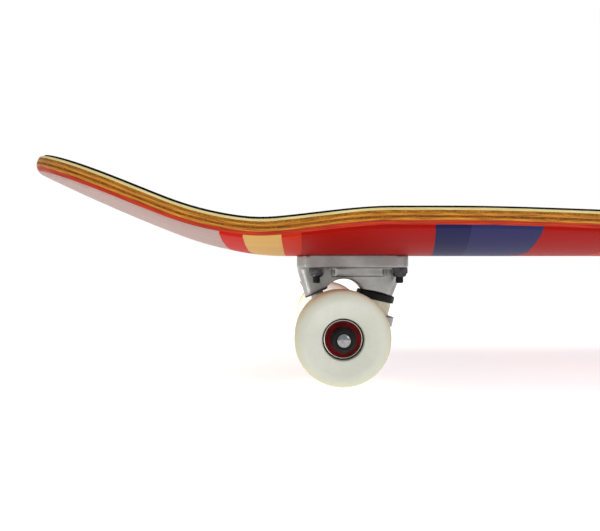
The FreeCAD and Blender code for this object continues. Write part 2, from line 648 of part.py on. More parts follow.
def ring_solid(inner, outer, w, chamfer_inner, chamfer_outer):
    """One bearing ring with chamfered corners, centred on w."""
    half = BEARING_WIDTH / 2
    return revolved([(inner, w - half + chamfer_inner), (inner + chamfer_inner, w - half),
                     (outer - chamfer_outer, w - half), (outer, w - half + chamfer_outer),
                     (outer, w + half - chamfer_outer), (outer - chamfer_outer, w + half),
                     (inner + chamfer_inner, w + half), (inner, w + half - chamfer_inner)])


def inner_rings():
    """Inner rings of both wheels' bearings, fixed on the axle."""
    rings = []
    for side in (-1, 1):
        for w in bearing_middles():
            ring = ring_solid(AXLE_RADIUS, INNER_RING_RADIUS, w, RING_CHAMFER, RING_CHAMFER).cut(race(w))
            rings.append(on_axle(ring).translated(Vector(0, side * WHEEL_CENTRE_Y, 0)))
    return Part.makeCompound(rings)


def bearing_spacers():
    """Tubes that hold the two inner rings of a wheel apart."""
    half = BEARING_OUTER_FACE - BEARING_WIDTH
    inner, outer = AXLE_RADIUS, SPACER_RADIUS
    tube = on_axle(revolved([(inner, -half), (outer, -half), (outer, half), (inner, half)]))
    return Part.makeCompound([tube.translated(Vector(0, side * WHEEL_CENTRE_Y, 0)) for side in (-1, 1)])


def wheel():
    """Solid urethane wheel with rounded lips and a stepped bore for its two bearings."""
    seat = BEARING_OUTER_FACE - BEARING_WIDTH
    profile = (WHEEL_LIP,) + WHEEL_MOUTH + ((BEARING_RADIUS, BEARING_OUTER_FACE), (BEARING_RADIUS, seat),
                                            (BORE_SHOULDER_RADIUS, seat))
    mouth = [Vector(radius, 0, w) for radius, w in profile]
    lip = mouth[0]
    shoulder = Vector(WHEEL_SHOULDER[0], 0, WHEEL_SHOULDER[1])
    tread = Vector(WHEEL_DIAMETER / 2, 0, TREAD_HALF_WIDTH)

    def flipped(point):
        return Vector(point.x, 0, -point.z)

    inside = mouth + [flipped(point) for point in mouth[::-1]]
    edges = [Part.LineSegment(a, b).toShape() for a, b in zip(inside, inside[1:])]
    edges.append(Part.Arc(flipped(lip), flipped(shoulder), flipped(tread)).toShape())
    edges.append(Part.LineSegment(flipped(tread), tread).toShape())
    edges.append(Part.Arc(tread, shoulder, lip).toShape())
    return Part.Face(Part.Wire(edges)).revolve(Vector(0, 0, 0), Vector(0, 0, 1), 360)


def outer_rings():
    """The two bearings' outer rings, which turn with the wheel."""
    rings = []
    for w in bearing_middles():
        ring = ring_solid(OUTER_RING_BORE, BEARING_RADIUS, w, RING_CHAMFER, RING_OUTER_CHAMFER)
        rings.append(ring.cut(race(w)))
    return Part.makeCompound(rings)


def bearing_seals():
    """Thin seals on both faces of both bearings, held in the outer rings."""
    inner, outer = INNER_RING_RADIUS + SEAL_GAP, OUTER_RING_BORE
    seals = []
    for w in bearing_middles():
        for side in (-1, 1):
            face = w + side * (BEARING_WIDTH / 2 - SEAL_INSET)
            back = face - side * SEAL_THICKNESS
            seals.append(revolved([(inner, back), (outer, back), (outer, face), (inner, face)]))
    return Part.makeCompound(seals)


def ball_places(w):
    return [Vector(BALL_PITCH_RADIUS * math.cos(2 * math.pi * i / BALL_COUNT),
                   BALL_PITCH_RADIUS * math.sin(2 * math.pi * i / BALL_COUNT), w) for i in range(BALL_COUNT)]


def bearing_balls():
    """Seven balls in each bearing."""
    return Part.makeCompound([Part.makeSphere(BALL_RADIUS, place)
                              for w in bearing_middles() for place in ball_places(w)])


def bearing_cages():
    """Rings with a round pocket for each ball, which keep the balls apart."""
    inner, outer = CAGE_RADII
    cages = []
    for w in bearing_middles():
        low, high = w - CAGE_HALF_WIDTH, w + CAGE_HALF_WIDTH
        ring = revolved([(inner, low), (outer, low), (outer, high), (inner, high)])
        pockets = []
        for place in ball_places(w):
            outwards = Vector(place.x, place.y, 0).normalize()
            start = Vector(0, 0, w) + outwards * 5
            pockets.append(Part.makeCylinder(BALL_RADIUS + BALL_CLEARANCE, 5, start, outwards))
        cages.append(ring.cut(pockets))
    return Part.makeCompound(cages)


def truck_parts():
    """Everything of one truck but its wheels."""
    return {
        "baseplate": baseplate(),
        "pivot_cup": pivot_cup(),
        "kingpin": kingpin(),
        "top_washer": top_washer(),
        "top_bushing": top_bushing(),
        "bottom_bushing": bottom_bushing(),
        "bottom_washer": bottom_washer(),
        "kingpin_nut": kingpin_nut(),
        "hanger": hanger(),
        "axle": axle(),
        "axle_nuts": axle_nuts(),
        "axle_washers": axle_washers(),
        "bearing_inner_rings": inner_rings(),
        "bearing_spacers": bearing_spacers(),
    }


def wheel_parts():
    """One wheel and what turns with it or inside it, round the Z axis."""
    return {
        "wheel": wheel(),
        "bearing_outer_rings": outer_rings(),
        "bearing_seals": bearing_seals(),
        "bearing_balls": bearing_balls(),
        "bearing_cages": bearing_cages(),
    }


def all_parts():
    """Every sub-part by its name, in its place on the board."""
    parts = deck_parts()
    parts.update(mounting_hardware())
    truck = truck_parts()
    wheels = wheel_parts()
    for name, shape in truck.items():
        mirrored = shape.mirror(Vector(0, 0, 0), Vector(1, 0, 0))
        parts["front_" + name] = shape.translated(Vector(FRONT_AXLE, 0, 0))
        parts["rear_" + name] = mirrored.translated(Vector(REAR_AXLE, 0, 0))
    for end, axle_x in (("front", FRONT_AXLE), ("rear", REAR_AXLE)):
        for hand, side in (("left", -1), ("right", 1)):
            for name, shape in wheels.items():
                place = Vector(axle_x, side * WHEEL_CENTRE_Y, 0)
                parts[f"{end}_{hand}_{name}"] = on_axle(shape).translated(place)
    return parts


def main():
    os.makedirs("parts", exist_ok=True)
    for name, shape in all_parts().items():
        shape.exportStep(os.path.join("parts", name + ".step"))
        valid = "valid" if shape.isValid() else "NOT VALID"
        print(f"{name}: {len(shape.Solids)} solids, {shape.Volume:.0f} mm3, {valid}")


main()
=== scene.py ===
import math

import bmesh
import bpy
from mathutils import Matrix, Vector


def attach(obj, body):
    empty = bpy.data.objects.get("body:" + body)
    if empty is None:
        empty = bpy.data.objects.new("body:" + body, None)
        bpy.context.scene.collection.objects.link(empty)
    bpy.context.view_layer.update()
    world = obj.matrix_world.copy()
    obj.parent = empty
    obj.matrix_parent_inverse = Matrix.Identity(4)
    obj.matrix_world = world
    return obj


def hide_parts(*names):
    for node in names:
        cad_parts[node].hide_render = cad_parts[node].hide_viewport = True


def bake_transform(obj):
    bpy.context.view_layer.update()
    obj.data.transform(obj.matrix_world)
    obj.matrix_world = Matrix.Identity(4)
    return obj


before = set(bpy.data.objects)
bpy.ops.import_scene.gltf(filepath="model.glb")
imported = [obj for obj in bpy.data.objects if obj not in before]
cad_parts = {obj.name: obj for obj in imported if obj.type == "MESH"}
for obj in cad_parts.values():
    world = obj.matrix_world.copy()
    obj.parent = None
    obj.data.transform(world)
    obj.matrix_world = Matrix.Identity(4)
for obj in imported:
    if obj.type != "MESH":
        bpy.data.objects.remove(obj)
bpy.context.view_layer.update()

# A skateboard on a pale floor. Lengths are millimetres until a mesh is made, which turns them into metres.
MM = 0.001

# Deck, with the CAD model's own dimensions
NOSE_LENGTH = 176.0           # from the tip to the nearest row of bolts
TAIL_LENGTH = 166.0
BOLT_BASE = 362.0             # between the inner rows of bolts
BOLT_ROW_SPACING = 53.975
DECK_LENGTH = NOSE_LENGTH + BOLT_BASE + 2 * BOLT_ROW_SPACING + TAIL_LENGTH
DECK_WIDTH = 203.2
HALF_WIDTH = DECK_WIDTH / 2
DECK_BOTTOM = 72.0
BEND_FROM_BOLTS = 20.7
BEND_RADIUS = 182.0
NOSE_ANGLE = math.radians(21.2)
TAIL_ANGLE = math.radians(20.2)
TIP_RADIUS = 1055.0
TIP_OUTLINE = 90.0
TIP_POWER_LENGTH = 2.64
TIP_POWER_WIDTH = 2.16
PLY_COUNT = 7
PLY_THICKNESS = 1.45
DECK_THICKNESS = PLY_COUNT * PLY_THICKNESS
GRIP_THICKNESS = 0.8
DECK_TOP = DECK_BOTTOM + DECK_THICKNESS + GRIP_THICKNESS
FLAT_HALF_WIDTH = 22.0
CONCAVE_POWER = 2.2
CONCAVE_TRUCK = 13.7
CONCAVE_TIP = 7.1
CONCAVE_MIDDLE = 9.8
TIP_FADE = (-59.4, 22.2)      # from the bend outwards, where the concave flattens towards the tip
MIDDLE_FADE = (87.1, 237.1)   # from the bend inwards, where it flattens towards the board's middle
LOWER_ROUND = (3.2, 7.4)      # radius of the rail's lower edge along the sides, and at the very tip
UPPER_ROUND = (0.9, 2.6)
TIP_FULLNESS = 0.8            # how far the middle of the tip's edge stands out
GRIP_WRAP = 0.55              # the grip sheet is rolled down over the top veneer's edge by this much
PRINT_EDGE = 1.1              # the underside's print wraps up the rounded edge to this height
# Sanding bares the outer veneers more.
VENEER_TOPS = (1.6, 3.05, 4.35, 5.55, 6.85, 8.3, DECK_THICKNESS)
DECK_COLUMNS = 40             # faces across the board
SHARP_ANGLE = 35              # degrees between faces from which an edge is sharp
ROUND_SHARP_ANGLE = 40        # the same for bearings and axles

# Bolts
NOSE_ROW = NOSE_LENGTH - DECK_LENGTH / 2
TAIL_ROW = DECK_LENGTH / 2 - TAIL_LENGTH
BOLT_ROWS = (NOSE_ROW, NOSE_ROW + BOLT_ROW_SPACING, TAIL_ROW - BOLT_ROW_SPACING, TAIL_ROW)
BOLT_HALF_SPACING = 41.275 / 2
BOLT_HOLE_RADIUS = 2.7
BOLT_HEAD_RADIUS = 4.68
BOLT_HEAD_HEIGHT = 2.7
CUTTER_BELOW = 6.0            # how far the bolt holes' cutting tool stands out of the deck
CUTTER_ABOVE = 4.0

# Trucks
AXLE_INWARDS = 12.2875        # from the outer row of bolts to the axle
AXLE_X = {"front": NOSE_ROW + AXLE_INWARDS, "rear": TAIL_ROW - AXLE_INWARDS}
INWARDS = {"front": 1, "rear": -1}
HANDS = {"left": -1, "right": 1}
AXLE_HEIGHT = 26.0
AXLE_HALF_LENGTH = 101.6
AXLE_RADIUS = 3.96
WHEEL_RADIUS = AXLE_HEIGHT
WHEEL_Y = 81.0
BEARING_Y = 8.5               # from the wheel's middle to a bearing's middle
BEARING_HALF_WIDTH = 3.5
BOSS = (28.85, 47.0)
KINGPIN_LEAN = math.radians(13.5)
CAST_VOXEL = 0.0006           # metres
CAST_SOFTENING = 7

# Studio, in metres, watts and millimetres of lens
FLOOR_HALF_SIZE = 6.0
SURROUND_LIGHT = 0.57
SURROUND_IN_VIEW = 1.0
LAMP_AIM = (-0.1, 0.0, 0.06)
SPOT_AIM = (-0.236, 0.08, 0.02)
SPOT_PLACE = (-0.75, -0.6, 0.06)
SPOT_POWER = 30.0
SPOT_ANGLE = math.radians(8.5)
SPOT_BLEND = 0.5
SPOT_RADIUS = 0.03
CAMERA_PLACE = (-0.2406, -0.42, 0.0652)
CAMERA_LENS = 36.92
CAMERA_SENSOR = 36.0
CAMERA_CLIP_START = 0.005


def smooth_step(t):
    t = min(1.0, max(0.0, t))
    return t * t * (3 - 2 * t)


class DeckEnd:
    """The nose (side -1) or the tail (side +1). s runs along the underside from the bend, outwards."""

    def __init__(self, side, bolts, length, angle):
        self.side = side
        self.bend_x = bolts + side * BEND_FROM_BOLTS
        self.angle = angle
        reach = length - BEND_FROM_BOLTS + math.sin(angle) * DECK_THICKNESS / 2
        sine = math.sin(angle) + (reach - BEND_RADIUS * math.sin(angle)) / TIP_RADIUS
        self.tip_s = BEND_RADIUS * angle + TIP_RADIUS * (math.asin(sine) - angle)
        self.middle_s = -abs(self.bend_x)

    def centre(self, s):
        """Distance beyond the bend, rise over the flat, and slope of the underside's centre line."""
        if s < 0:
            return s, 0.0, 0.0
        arc = BEND_RADIUS * self.angle
        if s < arc:
            slope = s / BEND_RADIUS
            return BEND_RADIUS * math.sin(slope), BEND_RADIUS * (1 - math.cos(slope)), slope
        slope = self.angle + (s - arc) / TIP_RADIUS
        out = BEND_RADIUS * math.sin(self.angle) + TIP_RADIUS * (math.sin(slope) - math.sin(self.angle))
        rise = BEND_RADIUS * (1 - math.cos(self.angle))
        rise += TIP_RADIUS * (math.cos(self.angle) - math.cos(slope))
        return out, rise, slope

    def concave(self, s):
        """Rise of the rail over the centre line at full width."""
        tip = smooth_step((s - TIP_FADE[0]) / (TIP_FADE[1] - TIP_FADE[0]))
        middle = smooth_step((-s - MIDDLE_FADE[0]) / (MIDDLE_FADE[1] - MIDDLE_FADE[0]))
        rise = CONCAVE_TRUCK + (CONCAVE_TIP - CONCAVE_TRUCK) * tip
        return rise + (CONCAVE_MIDDLE - CONCAVE_TRUCK) * middle

    def point(self, s, y, height):
        """A point this high in the deck's thickness, measured square to the centre line."""
        out, rise, slope = self.centre(s)
        across = max(0.0, (abs(y) - FLAT_HALF_WIDTH) / (HALF_WIDTH - FLAT_HALF_WIDTH))
        lift = self.concave(s) * across ** CONCAVE_POWER + height
        x = self.bend_x + self.side * (out - math.sin(slope) * lift)
        return Vector((x, y, DECK_BOTTOM + rise + math.cos(slope) * lift))

    def unrolled(self, s):
        """Place along the deck before it was bent."""
        return self.bend_x + self.side * s


NOSE = DeckEnd(-1, BOLT_ROWS[0], NOSE_LENGTH, NOSE_ANGLE)
TAIL = DeckEnd(1, BOLT_ROWS[-1], TAIL_LENGTH, TAIL_ANGLE)


def even(start, end, step):
    """Places from start to end, spaced evenly and about a step apart."""
    count = max(1, round(abs(end - start) / step))
    return [start + (end - start) * i / count for i in range(count + 1)]


def end_outline(end, steps):
    """(end, s, half width, outward normal) from the tip to the parallel sides."""
    stations = []
    for i in range(steps + 1):
        turn = math.pi / 2 * i / steps
        along = math.cos(turn) ** (2 / TIP_POWER_LENGTH)
        across = math.sin(turn) ** (2 / TIP_POWER_WIDTH)
        normal_s = along ** (TIP_POWER_LENGTH - 1) / TIP_OUTLINE
        normal_y = across ** (TIP_POWER_WIDTH - 1) / HALF_WIDTH
        size = math.hypot(normal_s, normal_y)
        s = end.tip_s - TIP_OUTLINE * (1 - along)
        stations.append((end, s, HALF_WIDTH * across, normal_s / size, normal_y / size))
    return stations


def deck_outline():
    """Stations along the whole deck, from the nose's tip to the tail's."""
    halves = []
    for end in (NOSE, TAIL):
        start = end.tip_s - TIP_OUTLINE
        straight = [(end, s, HALF_WIDTH, 0.0, 1.0) for s in even(start, end.middle_s, 5.0)[1:]]
        halves.append(end_outline(end, 110) + straight)
    return halves[0] + halves[1][-2::-1]


OUTLINE = deck_outline()


def rail_inset(height, tip_share):
    """How far the rounded rail lies inside the outline at this height. tip_share is 1 at the very tip."""
    lower = LOWER_ROUND[0] + (LOWER_ROUND[1] - LOWER_ROUND[0]) * tip_share
    upper = UPPER_ROUND[0] + (UPPER_ROUND[1] - UPPER_ROUND[0]) * tip_share
    low = max(0.0, lower - height)
    high = max(0.0, min(height, DECK_THICKNESS) - (DECK_THICKNESS - upper))
    inset = lower - math.sqrt(max(0.0, lower ** 2 - low ** 2))
    inset += upper - math.sqrt(max(0.0, upper ** 2 - high ** 2))
    return inset - TIP_FULLNESS * tip_share


def new_object(name, mesh):
    piece = bpy.data.objects.new(name, mesh)
    bpy.context.scene.collection.objects.link(piece)
    return piece


def make_mesh(name, points, faces, uvs=None, kinds=None, sharp=SHARP_ANGLE):
    """A closed mesh in metres, with outward normals, smooth faces and sharp edges over an angle."""
    mesh = bpy.data.meshes.new(name)
    mesh.from_pydata([Vector(point) * MM for point in points], [], faces)
    if uvs:
        layer = mesh.uv_layers.new(name="UVMap")
        flat = [value for face in uvs for uv in face for value in (uv[0] * MM, uv[1] * MM)]
        layer.data.foreach_set("uv", flat)
    if kinds:
        mesh.polygons.foreach_set("material_index", kinds)
    work = bmesh.new()
    work.from_mesh(mesh)
    bmesh.ops.remove_doubles(work, verts=work.verts, dist=1e-6)
    bmesh.ops.dissolve_degenerate(work, edges=work.edges, dist=1e-7)
    bmesh.ops.recalc_face_normals(work, faces=work.faces)
    work.to_mesh(mesh)
    work.free()
    mesh.polygons.foreach_set("use_smooth", [True] * len(mesh.polygons))
    mesh.set_sharp_from_angle(angle=math.radians(sharp))
    return mesh


class LayerShape:
    """The points and faces of one layer of the deck.

    Faces are numbered 0 below, 1 on the rail and 2 above. A rail face is 0 where the print wraps onto it."""

    def __init__(self, heights):
        self.heights = heights
        self.points = []
        self.faces = []
        self.uvs = []
        self.kinds = []
        self.walls = [(self.add_line(height, -1), self.add_line(height, 1)) for height in heights]

    def add_point(self, place):
        self.points.append(place)
        return len(self.points) - 1

    def add_face(self, corners, uv, kind):
        self.faces.append(corners)
        self.uvs.append(uv)
        self.kinds.append(kind)

    def add_line(self, height, side):
        """Points along one side's rail at one height."""
        line = []
        for end, s, y, normal_s, normal_y in OUTLINE:
            inset = rail_inset(height, normal_s ** 2)
            place = end.point(s - inset * normal_s, side * (y - inset * normal_y), height)
            line.append(self.add_point(place))
        return line

    def lengths_along(self):
        """Distance of each station from the nose's tip, along the rail's lowest line."""
        line = self.walls[0][0]
        lengths = [0.0]
        for before, after in zip(line, line[1:]):
            lengths.append(lengths[-1] + (self.points[after] - self.points[before]).length)
        return lengths

    def add_rail(self):
        """The strips of rail between each height and the next."""
        lengths = self.lengths_along()
        for level in range(len(self.heights) - 1):
            low, high = self.heights[level], self.heights[level + 1]
            printed = (low + high) / 2 < PRINT_EDGE
            for hand, side in enumerate((-1, 1)):
                below = self.walls[level][hand]
                above = self.walls[level + 1][hand]
                for i in range(len(OUTLINE) - 1):
                    start, stop = lengths[i], lengths[i + 1]
                    uv = ((start, low), (stop, low), (stop, high), (start, high))
                    if printed:
                        uv = [print_place(j, side) for j in (i, i + 1, i + 1, i)]
                    self.add_face((below[i], below[i + 1], above[i + 1], above[i]), uv, 0 if printed else 1)

    def cap_rows(self, level):
        """Rows from rail to rail: place along the unrolled board, then each point with its place across."""
        height = self.heights[level]
        rows = []
        for i, (end, s, y, normal_s, normal_y) in enumerate(OUTLINE):
            inset = rail_inset(height, normal_s ** 2)
            row_s = s - inset * normal_s
            row_y = y - inset * normal_y
            row = [(self.walls[level][0][i], -row_y)]
            for j in range(1, DECK_COLUMNS):
                across = row_y * (2 * j / DECK_COLUMNS - 1)
                row.append((self.add_point(end.point(row_s, across, height)), across))
            row.append((self.walls[level][1][i], row_y))
            rows.append((end.unrolled(row_s), row))
        return rows

    def add_cap(self, level, kind):
        """The face below or above."""
        rows = self.cap_rows(level)
        for (x, row), (next_x, next_row) in zip(rows, rows[1:]):
            for j in range(DECK_COLUMNS):
                corners = ((x, row[j]), (next_x, next_row[j]), (next_x, next_row[j + 1]), (x, row[j + 1]))
                points = [point for _, (point, _) in corners]
                self.add_face(points, [(along, across) for along, (_, across) in corners], kind)


def print_place(station, side):
    """Place on the unrolled underside's print of one station of the outline."""
    end, s, y, _, _ = OUTLINE[station]
    return end.unrolled(s), side * y


def layer_mesh(name, heights):
    """A face below, a face above, and the rail between them."""
    layer = LayerShape(heights)
    layer.add_rail()
    layer.add_cap(0, 0)
    layer.add_cap(-1, 2)
    return make_mesh(name, layer.points, layer.faces, layer.uvs, layer.kinds)


def lathe(name, profile, origin, axis, segments=96, sharp=SHARP_ANGLE, stretches=None):
    """Turns a closed outline of (radius, distance along the axis) into a ring.

    u is the angle. v is the outline's length from its first point, the shorter way round.
    stretches gives each side of the outline its material's number."""
    direction = Vector(axis).normalized()
    across = direction.orthogonal().normalized()
    other = direction.cross(across)
    count = len(profile)
    points = []
    for i in range(segments):
        turn = 2 * math.pi * i / segments
        radial = across * math.cos(turn) + other * math.sin(turn)
        points += [Vector(origin) + direction * along + radial * radius for radius, along in profile]
    lengths = [0.0]
    for (r0, a0), (r1, a1) in zip(profile, profile[1:] + profile[:1]):
        lengths.append(lengths[-1] + math.hypot(r1 - r0, a1 - a0))
    lengths = [min(length, lengths[-1] - length) for length in lengths]
    faces, uvs = [], []
    kinds = list(stretches) * segments if stretches else None
    for i in range(segments):
        for j in range(count):
            first, second = i * count, (i + 1) % segments * count
            faces.append((first + j, second + j, second + (j + 1) % count, first + (j + 1) % count))
            low, high = 1000 * i / segments, 1000 * (i + 1) / segments
            uvs.append(((low, lengths[j]), (high, lengths[j]), (high, lengths[j + 1]), (low, lengths[j + 1])))
    return make_mesh(name, points, faces, uvs, kinds, sharp)


def joined(name, meshes, sharp=SHARP_ANGLE):
    """One mesh made of several, which are used up."""
    work = bmesh.new()
    for mesh in meshes:
        work.from_mesh(mesh)
        bpy.data.meshes.remove(mesh)
    whole = bpy.data.meshes.new(name)
    work.to_mesh(whole)
    work.free()
    whole.set_sharp_from_angle(angle=math.radians(sharp))
    return whole


def softened(outline, radius, steps=4):
    """Rounds every corner of a closed outline, with smaller radii where its sides are short."""
    result = []
    count = len(outline)
    for i, corner in enumerate(outline):
        here = Vector(corner)
        before = Vector(outline[i - 1]) - here
        after = Vector(outline[(i + 1) % count]) - here
        cut = min(radius, before.length * 0.45, after.length * 0.45)
        start, stop = here + before.normalized() * cut, here + after.normalized() * cut
        for k in range(steps + 1):
            t = k / steps
            result.append(tuple(start * (1 - t) ** 2 + here * (2 * t * (1 - t)) + stop * t ** 2))
    return result


def arc_through(start, middle, stop, steps):
    """Points of a smooth curve that begins at start, passes middle and ends at stop."""
    a, b, c = Vector(start), Vector(middle), Vector(stop)
    control = b * 2 - (a + c) / 2
    points = []
    for k in range(steps + 1):
        t = k / steps
        points.append(tuple(a * (1 - t) ** 2 + control * (2 * t * (1 - t)) + c * t ** 2))
    return points


def linear(value):
    value /= 255
    return value / 12.92 if value <= 0.04045 else ((value + 0.055) / 1.055) ** 2.4


def rgb(red, green, blue):
    """A display colour as the linear colour that a shader takes."""
    return linear(red), linear(green), linear(blue), 1.0


class Finish:
    """A material, with short helpers for its nodes."""

    def __init__(self, name, color, roughness, metallic=0.0, **sockets):
        self.material = bpy.data.materials.new(name)
        self.material.use_nodes = True
        self.tree = self.material.node_tree
        self.shader = self.tree.nodes["Principled BSDF"]
        self.set("Base Color", color)
        self.set("Roughness", roughness)
        self.set("Metallic", metallic)
        for socket, value in sockets.items():
            self.set(socket.replace("_", " "), value)

    def set(self, socket, value):
        if isinstance(value, bpy.types.NodeSocket):
            self.tree.links.new(value, self.shader.inputs[socket])
        else:
            self.shader.inputs[socket].default_value = value

    def node(self, kind, inputs=(), **settings):
        node = self.tree.nodes.new(kind)
        for name, value in settings.items():
            setattr(node, name, value)
        for socket, value in dict(inputs).items():
            if isinstance(value, bpy.types.NodeSocket):
                self.tree.links.new(value, node.inputs[socket])
            else:
                node.inputs[socket].default_value = value
        return node

    def coords(self, source="Object", scale=(1, 1, 1), rotation=(0, 0, 0), location=(0, 0, 0)):
        place = self.node("ShaderNodeTexCoord").outputs[source]
        inputs = {"Vector": place, "Scale": scale, "Rotation": rotation, "Location": location}
        return self.node("ShaderNodeMapping", inputs).outputs["Vector"]

    def noise(self, vector, scale, detail=4.0, roughness=0.55, distortion=0.0):
        inputs = {"Vector": vector, "Scale": scale, "Detail": detail, "Roughness": roughness,
                  "Distortion": distortion}
        return self.node("ShaderNodeTexNoise", inputs).outputs["Fac"]

    def cells(self, vector, scale, feature="F1"):
        node = self.node("ShaderNodeTexVoronoi", {"Vector": vector, "Scale": scale}, feature=feature)
        return node.outputs["Distance"]

    def ramp(self, factor, stops, interpolation="LINEAR"):
        node = self.node("ShaderNodeValToRGB", {"Fac": factor})
        node.color_ramp.interpolation = interpolation
        elements = node.color_ramp.elements
        while len(elements) < len(stops):
            elements.new(0.5)
        for element, (position, color) in zip(elements, stops):
            element.position = position
            element.color = color
        return node.outputs["Color"]

    def grey_ramp(self, factor, low, high, from_value=0.0, to_value=1.0):
        """A factor stretched so that low gives from_value and high gives to_value."""
        inputs = {"Value": factor, "From Min": low, "From Max": high,
                  "To Min": from_value, "To Max": to_value}
        return self.node("ShaderNodeMapRange", inputs).outputs["Result"]

    def bands(self, place, stops, low, high):
        """Plain colours, each from its own place to the next one's."""
        shares = [((start - low) / (high - low), color) for start, color in stops]
        return self.ramp(self.grey_ramp(place, low, high), shares, "CONSTANT")

    def mix(self, factor, first, second, blend="MIX"):
        node = self.node("ShaderNodeMix", data_type="RGBA", blend_type=blend)
        for socket, value in ((0, factor), (6, first), (7, second)):
            if isinstance(value, bpy.types.NodeSocket):
                self.tree.links.new(value, node.inputs[socket])
            else:
                node.inputs[socket].default_value = value
        return node.outputs[2]

    def maths(self, operation, first, second=0.0):
        return self.node("ShaderNodeMath", {0: first, 1: second}, operation=operation).outputs["Value"]

    def bump(self, height, distance, strength=1.0):
        """Raises the surface by up to this distance, in metres."""
        inputs = {"Height": height, "Distance": distance, "Strength": strength}
        self.set("Normal", self.node("ShaderNodeBump", inputs).outputs["Normal"])

    def see_through_from_behind(self):
        """Leaves the side that the surface faces as it is, and clears the other one."""
        behind = self.node("ShaderNodeNewGeometry").outputs["Backfacing"]
        clear = self.node("ShaderNodeBsdfTransparent").outputs["BSDF"]
        mixed = self.node("ShaderNodeMixShader", {0: behind, 1: self.shader.outputs["BSDF"], 2: clear})
        self.tree.links.new(mixed.outputs["Shader"], self.tree.nodes["Material Output"].inputs["Surface"])


# Woods. On the rail u runs along the edge and v up through the thickness.

def long_grain_edge(name, light, dark):
    """The edge of a veneer whose grain runs along the board."""
    finish = Finish(name, light, 0.5, Specular_IOR_Level=0.2)
    streaks = finish.noise(finish.coords("UV", (55, 2100, 1)), 1.0, 5, 0.65, 0.4)
    pores = finish.noise(finish.coords("UV", (420, 3600, 1)), 1.0, 3, 0.6)
    tone = finish.mix(finish.grey_ramp(streaks, 0.38, 0.6), dark, light)
    pore_mark = finish.grey_ramp(pores, 0.3, 0.44, 0.3, 0.0)
    finish.set("Base Color", finish.mix(pore_mark, tone, dark))
    finish.set("Roughness", finish.grey_ramp(streaks, 0.3, 0.7, 0.58, 0.42))
    finish.bump(streaks, 0.00006, 0.6)
    return finish.material


def end_grain_edge(name, light, dark):
    """The edge of a veneer whose grain runs across the board, which shows its cut fibres."""
    finish = Finish(name, light, 0.62, Specular_IOR_Level=0.15)
    fibres = finish.noise(finish.coords("UV", (900, 1500, 1)), 1.0, 4, 0.65)
    patches = finish.noise(finish.coords("UV", (150, 700, 1)), 1.0, 3, 0.5)
    tone = finish.mix(finish.grey_ramp(fibres, 0.34, 0.64), dark, light)
    shade = finish.grey_ramp(patches, 0.35, 0.65, 0.62, 1.2)
    finish.set("Base Color", finish.mix(1.0, tone, shade, "MULTIPLY"))
    finish.bump(fibres, 0.00008, 0.7)
    return finish.material


# Colours of the underside's print
PRINT_PALE = rgb(176, 152, 146)
PRINT_BRIGHT_RED = rgb(190, 26, 16)
PRINT_RED = rgb(158, 12, 4)
PRINT_SCARLET = rgb(192, 40, 14)
PRINT_TAN = rgb(206, 164, 92)
PRINT_NAVY = rgb(30, 33, 76)
PRINT_LIGHT_NAVY = rgb(44, 46, 90)
# Where each band starts on the board's middle line, in metres from the middle. The slanted ones lie nearer
# the nose towards the rails.
NOSE_BANDS = (
    (-0.45, PRINT_PALE), (-0.284, PRINT_BRIGHT_RED), (-0.271, PRINT_TAN), (-0.2505, PRINT_SCARLET),
    (-0.2395, PRINT_RED),
)
SLANTED_BANDS = (
    (-0.2, PRINT_RED), (-0.1525, PRINT_NAVY), (-0.134, PRINT_LIGHT_NAVY), (-0.096, PRINT_RED),
    (-0.05, PRINT_SCARLET), (-0.03, PRINT_NAVY), (0.05, PRINT_LIGHT_NAVY), (0.085, PRINT_RED),
    (0.15, PRINT_TAN), (0.172, PRINT_NAVY), (0.235, PRINT_SCARLET), (0.262, PRINT_RED), (0.285, PRINT_PALE),
)
BAND_SLANT = 0.183
SLANTED_FROM = -0.165


def printed_underside():
    """Lacquered print of plain colour bands across the underside of the board."""
    finish = Finish("underside_print", rgb(174, 150, 144), 0.55, Specular_IOR_Level=0.04)
    place = finish.node("ShaderNodeSeparateXYZ", {"Vector": finish.coords("UV")})
    wobble = finish.noise(finish.coords("UV", (25, 25, 1)), 1.0, 2)
    along = finish.maths("ADD", place.outputs["X"], finish.maths("MULTIPLY", wobble, 0.0012))
    slant = finish.maths("MULTIPLY", finish.maths("ABSOLUTE", place.outputs["Y"]), BAND_SLANT)
    slanted = finish.maths("ADD", along, slant)
    nose = finish.bands(along, NOSE_BANDS, -0.45, -0.15)
    rest = finish.bands(slanted, SLANTED_BANDS, -0.2, 0.4)
    flat = finish.mix(finish.maths("GREATER_THAN", slanted, SLANTED_FROM), nose, rest)
    grain = finish.noise(finish.coords("UV", (9, 500, 1)), 1.0, 5, 0.6, 0.3)
    shade = finish.grey_ramp(grain, 0.3, 0.7, 0.86, 1.08)
    finish.set("Base Color", finish.mix(1.0, flat, shade, "MULTIPLY"))
    finish.bump(grain, 0.00003, 0.5)
    return finish.material


def grip_surface():
    """Black sheet covered with fine sharp grit."""
    finish = Finish("grit_black", rgb(20, 20, 18), 0.88, Specular_IOR_Level=0.12)
    place = finish.coords()
    grit = finish.cells(place, 2100)
    fine = finish.noise(place, 3600, 2, 0.7)
    glint = finish.grey_ramp(fine, 0.66, 0.74)
    wear = finish.noise(place, 22, 6, 0.68)
    base = finish.mix(finish.grey_ramp(wear, 0.35, 0.7), rgb(12, 12, 10), rgb(34, 34, 31))
    finish.set("Base Color", finish.mix(glint, base, rgb(92, 92, 90)))
    finish.set("Roughness", finish.grey_ramp(glint, 0.0, 1.0, 0.9, 0.45))
    finish.bump(finish.maths("SUBTRACT", fine, grit), 0.00022, 0.8)
    return finish.material


# Metals, urethane and plastics

